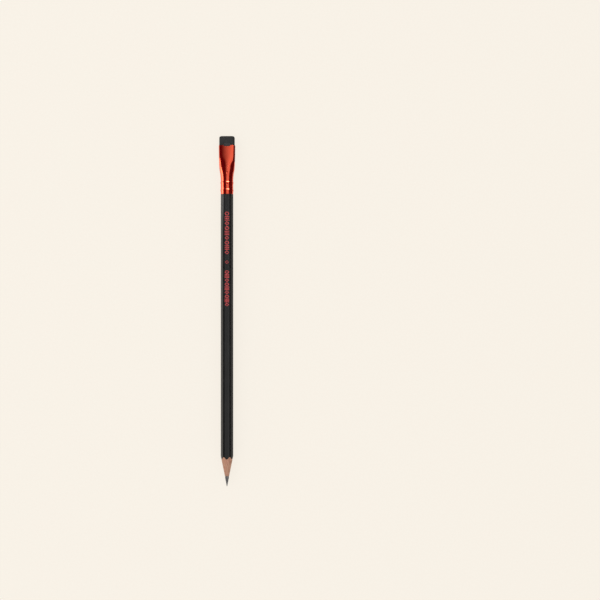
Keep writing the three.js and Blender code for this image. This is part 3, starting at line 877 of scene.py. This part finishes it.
def light_panel(name, corner, across, up, radiance, ramps=()):
    """A flat panel from a corner along two edges, seen only in reflections. A ramp fades it along an edge."""
    mesh = bpy.data.meshes.new(name)
    corner, across, up = Vector(corner), Vector(across), Vector(up)
    mesh.from_pydata([corner, corner + across, corner + across + up, corner + up], [], [(0, 1, 2, 3)])
    layer = mesh.uv_layers.new(name="panel")
    for index, place in enumerate(((0, 0), (1, 0), (1, 1), (0, 1))):
        layer.data[index].uv = place
    material = bpy.data.materials.new(name)
    material.use_nodes = True
    tree = material.node_tree
    tree.nodes.clear()
    output = add_node(tree, "ShaderNodeOutputMaterial")
    where = add_node(tree, "ShaderNodeSeparateXYZ", {0: add_node(tree, "ShaderNodeTexCoord").outputs["UV"]})
    strength = add_node(tree, "ShaderNodeValue").outputs[0]
    strength.default_value = radiance
    for edge, start, end, low, high in ramps:
        share = remap(tree, where.outputs[edge], start, end, low, high)
        strength = calculate(tree, "MULTIPLY", strength, share)
    glow = add_node(tree, "ShaderNodeEmission", {"Color": PANEL_COLOUR, "Strength": strength})
    tree.links.new(glow.outputs[0], output.inputs["Surface"])
    panel = stage_object(name, mesh, material)
    panel.visible_camera = False
    panel.visible_diffuse = False
    panel.visible_shadow = False


def overhead_panels():
    """Softboxes over the barrel and the mouth, and past the eraser the bright key that the beads mirror."""
    seam = 0.2  # where along the pencil the second softbox takes over
    light_panel(
        "overhead", corner=(-0.306, -SPAN, PANEL_HEIGHT), across=(1.06, 0, 0), up=(0, SPAN + seam, 0),
        radiance=0.97, ramps=[("X", 0.0, 0.3, 0, 1), ("X", 0.9, 1.0, 1, 0)],
    )
    left = -0.354
    across = (1.193, 0, 0)
    ramps = [("X", 0.0, 0.483, 0, 1), ("X", 0.906, 1.0, 1, 0)]
    light_panel(
        "overhead_mouth", corner=(left, seam, PANEL_HEIGHT), across=across, up=(0, 0.37, 0),
        radiance=0.97, ramps=ramps,
    )
    light_panel(
        "key", corner=(left, 0.68, PANEL_HEIGHT), across=across, up=(0, 0.36, -0.1),
        radiance=11.0, ramps=ramps,
    )


def cards():
    """A bright card that stands and lies to the ferrule's left, and dark ones on the floor to the right."""
    left = -0.03
    start = 0.058
    along = (0, 0.0335, 0)
    fade = [("Y", 0.88, 1.0, 1, 0)]
    light_panel("card", corner=(left, start, 0), across=(0, 0, 0.0165), up=along, radiance=3.7, ramps=fade)
    light_panel(
        "card_foot", corner=(left, start, OFF_FLOOR), across=(0.0115, 0, 0), up=along,
        radiance=2.4, ramps=fade,
    )
    light_panel(
        "black_card", corner=(0.013, -SPAN, OFF_FLOOR), across=(SPAN, 0, 0), up=(0, 2 * SPAN, 0),
        radiance=0.0,
    )
    light_panel(
        "black_strip", corner=(0.005, 0.087, OFF_FLOOR), across=(0.008, 0, 0), up=(0, 0.2, 0),
        radiance=0.12,
    )


def soft_lamp():
    """A broad lamp at the upper left, aimed at the pencil."""
    place = Vector((-0.7, 0.25, 0.8))
    data = bpy.data.lights.new("lamp", "AREA")
    data.energy = 3.0
    data.size = 0.7
    lamp = bpy.data.objects.new("lamp", data)
    lamp.location = place
    lamp.rotation_euler = place.to_track_quat("Z", "Y").to_euler()
    lamp.visible_glossy = False
    bpy.context.scene.collection.objects.link(lamp)


def daylight():
    """Even light from all sides, which the bright surfaces don't mirror."""
    world = bpy.data.worlds.new("studio")
    bpy.context.scene.world = world
    world.use_nodes = True
    background = world.node_tree.nodes["Background"]
    background.inputs["Color"].default_value = (*DAYLIGHT, 1.0)
    background.inputs["Strength"].default_value = 1.0
    world.cycles_visibility.glossy = False


# ---------- camera, in metres ----------

CAMERA_ACROSS = 0.04234
CAMERA_ALONG = 0.0066
CAMERA_DISTANCE = 0.65
FRAME_WIDTH = 0.34805  # of the plane through the pencil's axis
SENSOR = 36.0  # millimetres


def camera_above():
    """Straight down, from over a point to the right of the pencil and a little nearer its eraser."""
    data = bpy.data.cameras.new("camera")
    data.sensor_width = SENSOR
    data.lens = SENSOR * CAMERA_DISTANCE / FRAME_WIDTH
    data.clip_start = 0.01
    camera = bpy.data.objects.new("camera", data)
    camera.location = (CAMERA_ACROSS, CAMERA_ALONG, AXIS * MM + CAMERA_DISTANCE)
    bpy.context.scene.collection.objects.link(camera)
    bpy.context.scene.camera = camera


# ---------- assembly ----------


def refinish(node, material):
    """Gives a CAD node that stays visible its finished material."""
    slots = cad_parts[node].data.materials
    slots.clear()
    slots.append(material)


cedar = cedar_material()
lacquer_skin(lacquer_material())
cedar_slat("cedar_upper", 1, "cedar_slat_upper", cedar)
cedar_slat("cedar_lower", -1, "cedar_slat_lower", cedar)
graphite_point(graphite_material())
ferrule_tube(anodised_material())
clip_strip(coating_material())
eraser_block(rubber_material())
foil = foil_material()
for band in ("foil_band_upper", "foil_mark", "foil_band_lower"):
    refinish(band, foil)
refinish("glue_film", glue_material())

pale_floor()
overhead_panels()
cards()
soft_lamp()
daylight()
camera_above()
bpy.context.scene.view_settings.view_transform = "Standard"
